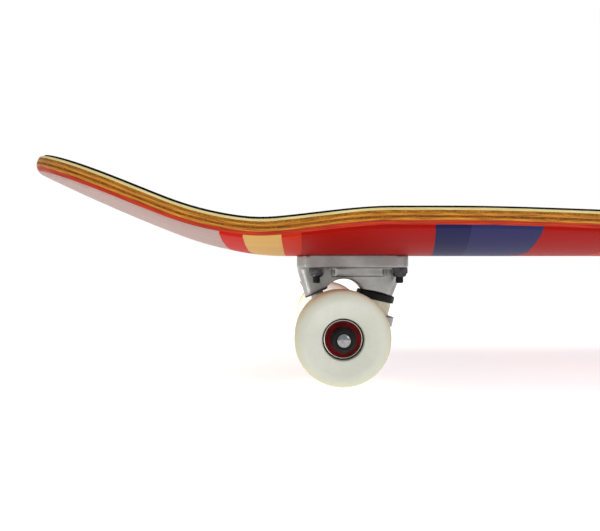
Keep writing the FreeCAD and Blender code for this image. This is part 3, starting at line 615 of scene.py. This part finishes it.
def cast_alloy():
    """Tumbled cast aluminium: fine sand grain, soft patches and a few small pits."""
    finish = Finish("cast_aluminium", rgb(160, 160, 157), 0.38, 0.92)
    place = finish.coords()
    grain = finish.noise(place, 1500, 4, 0.6)
    patches = finish.noise(place, 60, 4, 0.55)
    pits = finish.grey_ramp(finish.noise(place, 700, 2, 0.5), 0.36, 0.24, 0.0, 0.5)
    tone = finish.mix(finish.grey_ramp(patches, 0.35, 0.68), rgb(142, 142, 139), rgb(170, 171, 168))
    spotted = finish.mix(finish.grey_ramp(grain, 0.3, 0.7, 0.0, 0.25), tone, rgb(190, 190, 187))
    finish.set("Base Color", finish.mix(pits, spotted, rgb(118, 117, 114)))
    finish.set("Roughness", finish.grey_ramp(patches, 0.3, 0.7, 0.44, 0.32))
    finish.bump(grain, 0.00006, 0.6)
    return finish.material


def wheel_urethane():
    """Cast urethane, slightly translucent, with a matt skin and faint marks, tinted yellow towards the tread.
    """
    finish = Finish("wheel_urethane", rgb(216, 218, 206), 0.4, Subsurface_Weight=0.25,
                    Subsurface_Radius=(0.9, 0.85, 0.6), Subsurface_Scale=0.004)
    place = finish.coords()
    cloud = finish.noise(place, 55, 3, 0.5)
    specks = finish.grey_ramp(finish.noise(place, 900, 3, 0.6), 0.62, 0.72, 0.0, 0.5)
    tone = finish.mix(finish.grey_ramp(cloud, 0.3, 0.7), rgb(209, 211, 196), rgb(221, 223, 212))
    along = finish.node("ShaderNodeSeparateXYZ", {"Vector": finish.coords("UV")}).outputs["Y"]
    # The colour turns yellower towards the tread.
    tread_tinted = finish.mix(finish.grey_ramp(along, 0.0168, 0.0105, 0.0, 0.5), tone, rgb(212, 200, 132))
    finish.set("Base Color", finish.mix(specks, tread_tinted, rgb(196, 190, 170)))
    finish.set("Roughness", finish.grey_ramp(cloud, 0.3, 0.7, 0.4, 0.55))
    finish.bump(finish.noise(place, 1300, 3, 0.6), 0.00003, 0.6)
    return finish.material


def metal(name, light, dark, roughness, metallic=1.0, grain=900):
    """Machined or plated metal with fine marks."""
    finish = Finish(name, light, roughness, metallic, Specular_IOR_Level=0.25)
    place = finish.coords()
    marks = finish.noise(place, grain, 4, 0.6)
    smears = finish.noise(place, 160, 3, 0.55)
    finish.set("Base Color", finish.mix(finish.grey_ramp(smears, 0.35, 0.65), dark, light))
    finish.set("Roughness", finish.grey_ramp(marks, 0.3, 0.7, roughness * 0.8, roughness * 1.25))
    finish.bump(marks, 0.00002, 0.6)
    return finish.material


def moulded(name, light, dark, roughness, **sockets):
    """Rubber, urethane or nylon with a fine moulded skin."""
    finish = Finish(name, light, roughness, **sockets)
    place = finish.coords()
    cloud = finish.noise(place, 210, 4, 0.6)
    finish.set("Base Color", finish.mix(finish.grey_ramp(cloud, 0.35, 0.68), dark, light))
    finish.set("Roughness", finish.grey_ramp(cloud, 0.3, 0.7, roughness * 1.15, roughness * 0.85))
    finish.bump(finish.noise(place, 1600, 3, 0.6), 0.00003, 0.5)
    return finish.material


def threaded_black():
    """Black oxide bolts with a fine thread along their length."""
    finish = Finish("black_bolt", rgb(34, 34, 36), 0.36, 0.75)
    place = finish.coords()
    wave = finish.node("ShaderNodeTexWave", {"Vector": place, "Scale": 396.0}, bands_direction="Z")
    marks = finish.noise(place, 700, 4, 0.6)
    finish.set("Base Color", finish.mix(finish.grey_ramp(marks, 0.3, 0.7), rgb(24, 24, 26), rgb(48, 48, 51)))
    finish.set("Roughness", finish.grey_ramp(marks, 0.3, 0.7, 0.3, 0.48))
    finish.bump(wave.outputs["Fac"], 0.0002, 0.7)
    return finish.material


MATERIALS = {
    "edge_red": long_grain_edge("edge_red", rgb(196, 54, 16), rgb(144, 28, 4)),
    "edge_gold": long_grain_edge("edge_gold", rgb(218, 152, 52), rgb(142, 80, 12)),
    "edge_pale": long_grain_edge("edge_pale", rgb(232, 218, 158), rgb(206, 184, 116)),
    "edge_brown": end_grain_edge("edge_brown", rgb(166, 96, 22), rgb(98, 48, 4)),
    "edge_tan": end_grain_edge("edge_tan", rgb(186, 120, 36), rgb(124, 72, 12)),
    "underside": printed_underside(),
    "grip": grip_surface(),
    "alloy": cast_alloy(),
    "urethane": wheel_urethane(),
    "bolt": threaded_black(),
    "black_steel": metal("black_steel", rgb(15, 14, 14), rgb(6, 6, 6), 0.5, 0.1),
    # Painted shade: near-black steel for the bearings' outer corners, standing in for the shadow in the gap
    # to the wheel.
    "ring_corner_painted_shade": metal("ring_corner_painted_shade", rgb(28, 30, 24), rgb(14, 16, 12), 0.55, 0.1),
    "dark_nut": metal("dark_nut", rgb(92, 90, 92), rgb(48, 46, 48), 0.24, 0.95),
    "axle": metal("axle_steel", rgb(172, 174, 175), rgb(128, 129, 131), 0.18),
    "zinc": metal("zinc_plate", rgb(168, 168, 172), rgb(128, 127, 130), 0.3),
    "bearing": metal("bearing_steel", rgb(226, 220, 206), rgb(204, 196, 182), 0.2),
    "nylon_black": moulded("nylon_black", rgb(38, 38, 40), rgb(24, 24, 25), 0.5),
    "cup": moulded("cup_urethane", rgb(40, 38, 38), rgb(22, 21, 21), 0.45),
    "washer": metal("washer_black", rgb(16, 16, 14), rgb(6, 6, 5), 0.5, 0.1),
    "bushing": moulded("bushing_urethane", rgb(228, 224, 200), rgb(210, 204, 176), 0.42,
                       Subsurface_Weight=0.15, Subsurface_Radius=(1.0, 0.8, 0.5), Subsurface_Scale=0.003),
    "seal": moulded("seal_crimson", rgb(128, 4, 12), rgb(74, 2, 6), 0.4, Specular_IOR_Level=0.1),
    "cage": moulded("cage_nylon", rgb(226, 220, 200), rgb(206, 198, 176), 0.45),
}


def finished(piece, body, slot, *nodes):
    """Gives a new piece its body and hides the CAD nodes that it stands for. The slot is not used."""
    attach(piece, body)
    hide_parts(*nodes)
    return piece


# Deck

def hole_cutter():
    """The eight bolt holes with their countersinks, as one cutting tool."""
    slope = (BOLT_HEAD_RADIUS - BOLT_HOLE_RADIUS) / BOLT_HEAD_HEIGHT
    bottom = DECK_BOTTOM - CUTTER_BELOW
    seat = DECK_TOP - BOLT_HEAD_HEIGHT
    top = DECK_TOP + CUTTER_ABOVE
    profile = [(0.0, bottom), (BOLT_HOLE_RADIUS, bottom), (BOLT_HOLE_RADIUS, seat),
               (BOLT_HEAD_RADIUS, DECK_TOP), (BOLT_HEAD_RADIUS + slope * CUTTER_ABOVE, top), (0.0, top)]
    drills = []
    for x in BOLT_ROWS:
        for y in (-BOLT_HALF_SPACING, BOLT_HALF_SPACING):
            drills.append(lathe("hole", profile, (x, y, 0), (0, 0, 1), segments=40))
    return new_object("holes", joined("holes", drills))


def apply_modifiers(piece):
    """Makes the shape that the modifiers give the piece's own mesh."""
    graph = bpy.context.evaluated_depsgraph_get()
    mesh = bpy.data.meshes.new_from_object(piece.evaluated_get(graph), depsgraph=graph)
    piece.modifiers.clear()
    piece.data = mesh


# From the lowest veneer to the highest
VENEER_EDGES = ("edge_red", "edge_red", "edge_gold", "edge_brown", "edge_gold", "edge_tan", "edge_pale")
VENEER_SLOTS = ("ply_red", "ply_red", "ply_maple", "ply_maple_dark", "ply_maple", "ply_maple_dark",
                "ply_pale")
PRINTED_HEIGHTS = (0.0, 0.02, 0.07, 0.16, 0.3, 0.5, 0.75, PRINT_EDGE - 0.15, PRINT_EDGE)
TOP_VENEER_RISES = (0.0, 0.4, 0.8, 1.1)
GRIP_RISES = (-GRIP_WRAP, -0.35, -0.15, 0.0, 0.4, GRIP_THICKNESS)


def veneer_heights(number):
    """Heights of the lines of points round a veneer's rail, closer where it curves.

    Veneer 0 is the lowest."""
    high = VENEER_TOPS[number]
    if number == 0:
        return [*PRINTED_HEIGHTS, high]
    low = VENEER_TOPS[number - 1]
    if number == PLY_COUNT - 1:
        return [low + rise for rise in TOP_VENEER_RISES] + [DECK_THICKNESS - GRIP_WRAP]
    return [low, low * 2 / 3 + high / 3, low / 3 + high * 2 / 3, high]


def build_layer(name, node, heights, materials, slot, cutter):
    """One veneer or the grip sheet. Its materials are for the face below, the rail and the face above."""
    mesh = layer_mesh(name, heights)
    for material in materials:
        mesh.materials.append(material)
    piece = new_object(name, mesh)
    cut = piece.modifiers.new("bolt_holes", "BOOLEAN")
    cut.operation = "DIFFERENCE"
    cut.solver = "EXACT"
    cut.object = cutter
    apply_modifiers(piece)
    piece.data.set_sharp_from_angle(angle=math.radians(SHARP_ANGLE))
    finished(piece, "board", slot, node)


def build_deck():
    """The seven veneers and the grip sheet, each with its bolt holes."""
    cutter = hole_cutter()
    for i in range(PLY_COUNT):
        edge = MATERIALS[VENEER_EDGES[i]]
        below = MATERIALS["underside"] if i == 0 else edge
        materials = (below, edge, edge)
        name = f"veneer_{i + 1}"
        build_layer(name, f"deck_ply_{i + 1}", veneer_heights(i), materials, VENEER_SLOTS[i], cutter)
    heights = [DECK_THICKNESS + rise for rise in GRIP_RISES]
    build_layer("grip_sheet", "grip_tape", heights, [MATERIALS["grip"]] * 3, "grip", cutter)
    mesh = cutter.data
    bpy.data.objects.remove(cutter)
    bpy.data.meshes.remove(mesh)


# Wheels

def wheel_profile():
    """Outline of one wheel, with its two bearing seats: radius, distance from the wheel's middle."""
    half = arc_through((WHEEL_RADIUS, 9.6), (24.75, 13.35), (20.4, 15.5), 14)
    half += [(19.2, 15.46), (12.4, 14.75)]
    half += arc_through((11.9, 14.65), (11.3, 14.35), (11.1, 13.6), 6)
    half += [(11.02, 12.9), (11.02, 5.0), (9.7, 5.0)]
    return [(WHEEL_RADIUS, 0.0)] + half + [(radius, -along) for radius, along in half[::-1]]


# Half of a bearing's outer ring, from its middle to its face: radius, distance outwards from the face.
# The ground corner between the sixth and eighth points is painted near black, as painted shade for the
# shadowed gap between the ring and the wheel.
RING_PROFILE = [(9.05, -3.5), (9.05, -0.9), (9.4, -0.5), (9.6, -0.16), (9.86, 0.0),
                (10.28, -0.08), (10.42, -0.3), (10.98, -0.55), (11.0, -1.2), (11.0, -3.5)]
RING_STRETCHES = [0] * 5 + [1] * 2 + [0] * 3


def on_bearing_faces(name, centre, profile, stretches=None):
    """One mesh of the same ring on each face of a wheel's two bearings."""
    rings = []
    for middle in (-BEARING_Y, BEARING_Y):
        for face in (-1, 1):
            place = centre + Vector((0, middle + face * BEARING_HALF_WIDTH, 0))
            rings.append(lathe("ring", profile, place, (0, face, 0), 120, ROUND_SHARP_ANGLE, stretches))
    return new_object(name, joined(name, rings, ROUND_SHARP_ANGLE))


def seal_profile():
    """A seal's outline: radius, distance outwards from the bearing's face."""
    face = [(6.3, -0.62), (6.5, -0.4), (6.9, -0.36), (7.15, -0.5), (8.3, -0.5), (8.6, -0.34), (9.1, -0.34),
            (9.4, -0.52)]
    return softened(face + [(9.4, -0.95), (6.3, -0.95)], 0.12, 2)


def build_wheel(end, hand):
    """A wheel's urethane, its bearings' seals and their outer rings."""
    prefix = f"{end}_{hand}"
    centre = Vector((AXLE_X[end], HANDS[hand] * WHEEL_Y, AXLE_HEIGHT))
    body = f"{prefix}_wheel_set"
    mesh = lathe(f"{prefix}_tyre", wheel_profile(), centre, (0, 1, 0), segments=144)
    mesh.materials.append(MATERIALS["urethane"])
    finished(new_object(f"{prefix}_tyre", mesh), body, "wheel_urethane", f"{prefix}_wheel")
    seals = on_bearing_faces(f"{prefix}_shields", centre, seal_profile())
    seals.data.materials.append(MATERIALS["seal"])
    finished(seals, body, "red_seal", f"{prefix}_bearing_seals")
    rings = on_bearing_faces(f"{prefix}_races", centre, RING_PROFILE, RING_STRETCHES)
    rings.data.materials.append(MATERIALS["bearing"])
    # The second material paints shade onto the ring's outer corner.
    rings.data.materials.append(MATERIALS["ring_corner_painted_shade"])
    finished(rings, body, "bearing_steel", f"{prefix}_bearing_outer_rings")


# The axle's end: radius, distance back from the tip. The thread and its rounded start are black.
AXLE_TIP = [(0.0, 0.0), (1.3, 0.07), (2.4, 0.26), (3.1, 0.55), (3.5, 0.95), (AXLE_RADIUS, 1.4),
            (AXLE_RADIUS, 12.0)]
AXLE_STRETCHES = [0] * 5 + [1] * 2 + [0] * 2


def build_axle(end):
    """The axle, with a rounded tip at each end."""
    name = f"{end}_axle_rod"
    tip = [(radius, AXLE_HALF_LENGTH - back) for radius, back in AXLE_TIP]
    half = [(0.0, 0.0), *tip, (AXLE_RADIUS, 0.0)]
    centre = Vector((AXLE_X[end], 0, AXLE_HEIGHT))
    rods = []
    for side in (-1, 1):
        rods.append(lathe("rod", half, centre, (0, side, 0), 64, ROUND_SHARP_ANGLE, AXLE_STRETCHES))
    mesh = joined(name, rods, ROUND_SHARP_ANGLE)
    mesh.materials.append(MATERIALS["axle"])
    mesh.materials.append(MATERIALS["black_steel"])
    finished(new_object(name, mesh), f"{end}_hanger_set", "steel_hardware", f"{end}_axle")


# Trucks

def truck_point(end, u, z):
    """A point in the board's middle plane, u inwards from the axle."""
    return Vector((AXLE_X[end] + INWARDS[end] * u, 0, z))


def on_kingpin(end, distance):
    """A point this far along the kingpin from the baseplate's boss."""
    u, z = BOSS
    return truck_point(end, u - math.sin(KINGPIN_LEAN) * distance, z - math.cos(KINGPIN_LEAN) * distance)


def kingpin_axis(end):
    """The way from the boss towards the kingpin's nut."""
    return Vector((-INWARDS[end] * math.sin(KINGPIN_LEAN), 0, -math.cos(KINGPIN_LEAN)))


def cast_copy(node, name, body):
    """A casting: the CAD shape with every edge worn round."""
    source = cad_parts[node]
    piece = new_object(name, source.data.copy())
    work = bmesh.new()
    work.from_mesh(piece.data)
    bmesh.ops.remove_doubles(work, verts=work.verts, dist=1e-6)
    work.to_mesh(piece.data)
    work.free()
    remesh = piece.modifiers.new("remesh", "REMESH")
    remesh.mode = "VOXEL"
    remesh.voxel_size = CAST_VOXEL
    remesh.use_smooth_shade = True
    soften = piece.modifiers.new("soften", "SMOOTH")
    soften.factor = 0.5
    soften.iterations = CAST_SOFTENING
    apply_modifiers(piece)
    piece.data.materials.clear()
    piece.data.materials.append(MATERIALS["alloy"])
    return finished(piece, body, "truck_metal", node)


# Each bushing's outline, then where it is held by the board and by the hanger: radius, distance along the
# kingpin.
BUSHINGS = {
    "top": ([(5.0, 2.4), (10.7, 2.4), (11.5, 3.6), (11.62, 8.7), (11.5, 13.9), (10.7, 15.1), (5.0, 15.1)],
            2.4, 15.1),
    "bottom": ([(5.0, 19.1), (10.9, 19.1), (11.5, 20.1), (9.2, 27.8), (8.5, 28.6), (5.0, 28.6)],
               28.6, 19.1),
}


def build_bushings(end):
    """Both bushings, between the board and the hanger."""
    for which, (outline, fixed, moving) in BUSHINGS.items():
        name = f"{end}_{which}_cushion"
        mesh = lathe(name, softened(outline, 0.8), on_kingpin(end, 0), kingpin_axis(end))
        mesh.materials.append(MATERIALS["bushing"])
        piece = new_object(name, mesh)
        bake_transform(piece)
        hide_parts(f"{end}_{which}_bushing")


# The CAD nodes that stay in view, by the end of their names, and their materials.
CARRIED = {
    "mounting_bolts": "bolt", "mounting_nuts": "dark_nut", "mounting_nut_inserts": "nylon_black",
    "pivot_cup": "cup", "kingpin": "zinc", "top_washer": "washer", "bottom_washer": "zinc",
    "kingpin_nut": "zinc", "axle_nuts": "black_steel", "axle_washers": "zinc",
    "bearing_inner_rings": "bearing", "bearing_spacers": "zinc",
    "bearing_balls": "bearing", "bearing_cages": "cage",
}


def finish_carried_nodes():
    """Materials for the CAD nodes that stay in view."""
    for node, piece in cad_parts.items():
        kind = next((key for key in CARRIED if node.endswith(key)), None)
        if kind is None:
            continue
        piece.data.materials.clear()
        piece.data.materials.append(MATERIALS[CARRIED[kind]])


def build_floor():
    """A pale floor, which doesn't hide the board from below."""
    signs = ((-1, -1), (1, -1), (1, 1), (-1, 1))
    corners = [(x * FLOOR_HALF_SIZE, y * FLOOR_HALF_SIZE, 0) for x, y in signs]
    mesh = bpy.data.meshes.new("floor")
    mesh.from_pydata(corners, [], [(0, 1, 2, 3)])
    floor = new_object("floor", mesh)
    finish = Finish("floor_white", (0.76, 0.76, 0.76, 1), 0.9, Specular_IOR_Level=0.1,
                    Emission_Color=(1, 1, 1, 1), Emission_Strength=0.7)
    grain = finish.noise(finish.coords(), 40, 3)
    finish.set("Roughness", finish.grey_ramp(grain, 0.3, 0.7, 0.85, 0.95))
    finish.see_through_from_behind()
    mesh.materials.append(finish.material)


def build_surroundings():
    """White surroundings, which look brighter than the light they give."""
    scene = bpy.context.scene
    world = bpy.data.worlds.new("studio")
    world.use_nodes = True
    nodes = world.node_tree.nodes
    background = nodes["Background"]
    background.inputs["Color"].default_value = (1.0, 1.0, 1.0, 1)
    rays = nodes.new("ShaderNodeLightPath")
    strength = nodes.new("ShaderNodeMapRange")
    strength.inputs["To Min"].default_value = SURROUND_LIGHT
    strength.inputs["To Max"].default_value = SURROUND_IN_VIEW
    world.node_tree.links.new(rays.outputs["Is Camera Ray"], strength.inputs["Value"])
    world.node_tree.links.new(strength.outputs["Result"], background.inputs["Strength"])
    scene.world = world
    scene.view_settings.view_transform = "Standard"


def place_lamp(light, place, aim):
    """Puts a lamp in the scene, pointing at a place."""
    lamp = bpy.data.objects.new(light.name, light)
    lamp.location = place
    direction = Vector(aim) - lamp.location
    lamp.rotation_euler = direction.to_track_quat("-Z", "Y").to_euler()
    bpy.context.scene.collection.objects.link(lamp)


# Soft round lamps: name, place, width, power.
SOFT_LAMPS = (
    ("key", (0.7, -0.9, 0.7), 0.6, 2.0),
    ("top", (0.0, 0.5, 1.8), 1.6, 14.0),
)


def build_lamps():
    """Two soft lamps, and a narrow one that lights the front of the far wheels from low down."""
    for name, place, width, power in SOFT_LAMPS:
        light = bpy.data.lights.new(name, "AREA")
        light.shape = "DISK"
        light.size = width
        light.energy = power
        place_lamp(light, place, LAMP_AIM)
    light = bpy.data.lights.new("low_fill", "SPOT")
    light.energy = SPOT_POWER
    light.spot_size = SPOT_ANGLE
    light.spot_blend = SPOT_BLEND
    light.shadow_soft_size = SPOT_RADIUS
    place_lamp(light, SPOT_PLACE, SPOT_AIM)


def build_camera():
    """A level camera, which looks square at the board's left side."""
    data = bpy.data.cameras.new("camera")
    data.lens = CAMERA_LENS
    data.sensor_width = CAMERA_SENSOR
    data.clip_start = CAMERA_CLIP_START
    camera = bpy.data.objects.new("camera", data)
    camera.location = CAMERA_PLACE
    camera.rotation_euler = (math.pi / 2, 0, 0)
    bpy.context.scene.collection.objects.link(camera)
    bpy.context.scene.camera = camera


build_deck()
for end in AXLE_X:
    for hand in HANDS:
        build_wheel(end, hand)
for end in AXLE_X:
    cast_copy(f"{end}_baseplate", f"{end}_base_casting", "board")
    cast_copy(f"{end}_hanger", f"{end}_hanger_casting", f"{end}_hanger_set")
    build_bushings(end)
    build_axle(end)
finish_carried_nodes()
build_floor()
build_surroundings()
build_lamps()
build_camera()
